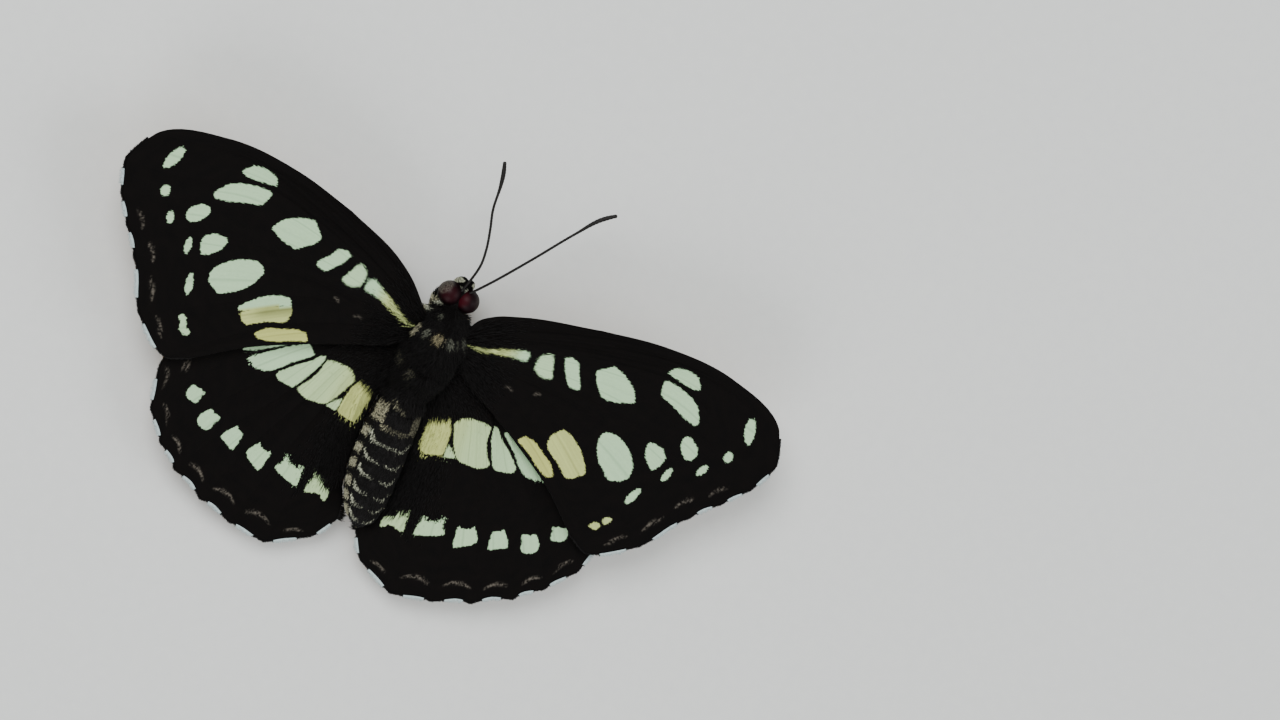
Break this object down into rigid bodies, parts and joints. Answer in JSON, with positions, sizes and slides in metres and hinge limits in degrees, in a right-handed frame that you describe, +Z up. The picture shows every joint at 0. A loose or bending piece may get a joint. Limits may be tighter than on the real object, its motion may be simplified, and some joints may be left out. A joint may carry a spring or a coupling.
{
  "type": "common sergeant butterfly",
  "caption": "Life-size common sergeant butterfly, a still animal model standing on thin legs with all wings spread flat.",
  "frame": {"origin": "on the floor, under the middle of the whole animal's box", "axes": "+Z up, -Y the way the head faces, +X the animal's left side; the wings spread along X"},
  "size_m": [0.0672, 0.0426, 0.0133],
  "materials": {
    "wing_scales": "velvety black scales with white and cream spots",
    "black_fur": "black body under fine hair",
    "pale_scales": "pale scales",
    "horn": "satin dark shell",
    "eye": "glossy dark red"
  },
  "bodies": {
    "root": {"thorax": "black_fur", "abdomen": "black_fur", "head": "black_fur", "eye_left": "eye", "eye_right": "eye", "palp_left": "pale_scales", "palp_right": "pale_scales", "tongue": "horn", "antenna_left": "horn", "antenna_right": "horn", "forewing_left": "wing_scales", "forewing_right": "wing_scales", "hindwing_left": "wing_scales", "hindwing_right": "wing_scales", "foreleg_left": "horn", "foreleg_right": "horn", "midleg_left": "horn", "midleg_right": "horn", "hindleg_left": "horn", "hindleg_right": "horn"}
  },
  "joints": []
}
